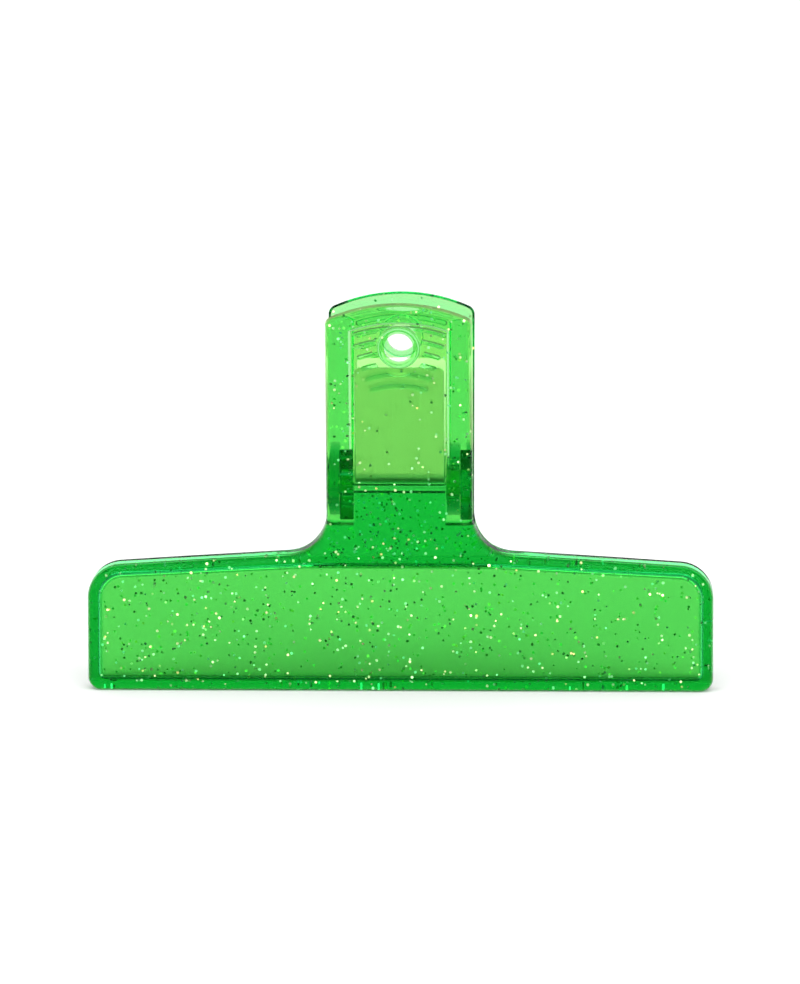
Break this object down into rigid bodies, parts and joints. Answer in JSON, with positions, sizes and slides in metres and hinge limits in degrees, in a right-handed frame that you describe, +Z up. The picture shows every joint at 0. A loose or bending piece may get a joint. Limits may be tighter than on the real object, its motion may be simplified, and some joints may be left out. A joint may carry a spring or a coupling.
{
  "type": "bag clip",
  "caption": "Wide bag clip: T-shaped sprung levers in clear tinted plastic with glitter, tray-shaped jaws, flared ribbed handles and a hanging hole.",
  "frame": {"origin": "middle of the clip's foot, on the surface that it stands on, under the closing line of the jaws", "axes": "+X along the jaws, +Z up towards the handles, the front lever on the -Y side"},
  "size_m": [0.152, 0.0274, 0.096],
  "materials": {
    "green_plastic": "clear tinted, glossy",
    "spring_steel": "bright rolled strip",
    "glitter": "metallised flakes inside the plastic"
  },
  "bodies": {
    "rear_half": {"rear_lever": "green_plastic", "spring": "spring_steel"},
    "front_half": {"front_lever": "green_plastic"}
  },
  "joints": [
    {"name": "jaw_pivot", "type": "hinge", "parent": "rear_half", "child": "front_half", "pos_m": [0, 0, 0.051], "axis": [-1, 0, 0], "range_deg": [0, 28.5], "stiffness_Nm_per_rad": 0.35, "springref_deg": -22.92, "deforming": ["spring"]}
  ]
}
